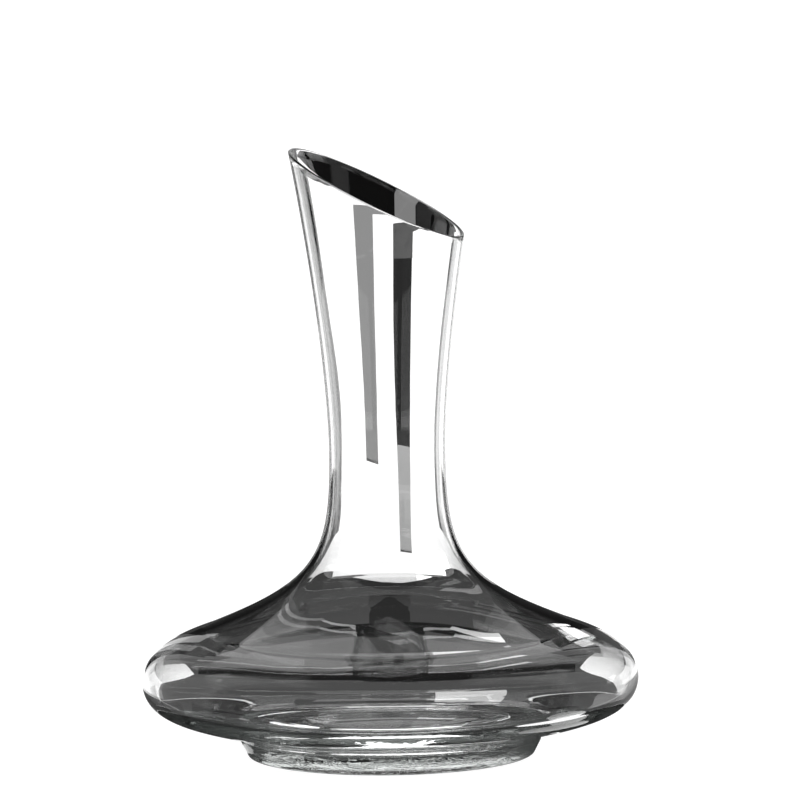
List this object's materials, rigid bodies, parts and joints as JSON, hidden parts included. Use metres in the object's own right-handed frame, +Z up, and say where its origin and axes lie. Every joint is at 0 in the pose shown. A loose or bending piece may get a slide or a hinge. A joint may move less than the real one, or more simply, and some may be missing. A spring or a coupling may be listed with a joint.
{
  "type": "wine decanter",
  "caption": "Clear crystal wine decanter with a wide flat bowl, a thick foot and a slender flared neck cut off at a slant.",
  "frame": {"origin": "centre of the foot, on the table that it stands on", "axes": "+Z up along the bowl's axis; the mouth slants in the XZ plane, with its high pouring side at -X and its low side at +X"},
  "size_m": [0.21, 0.21, 0.2565],
  "materials": {
    "clear_crystal": "fire-polished clear lead-free crystal",
    "thick_crystal": "thick clear lead-free crystal, polished, with a faint grey-green depth"
  },
  "bodies": {
    "root": {"foot_ring": "thick_crystal", "punt_floor": "thick_crystal", "bowl": "clear_crystal", "shoulder": "clear_crystal", "neck": "clear_crystal", "lip_bead": "clear_crystal"}
  },
  "joints": []
}
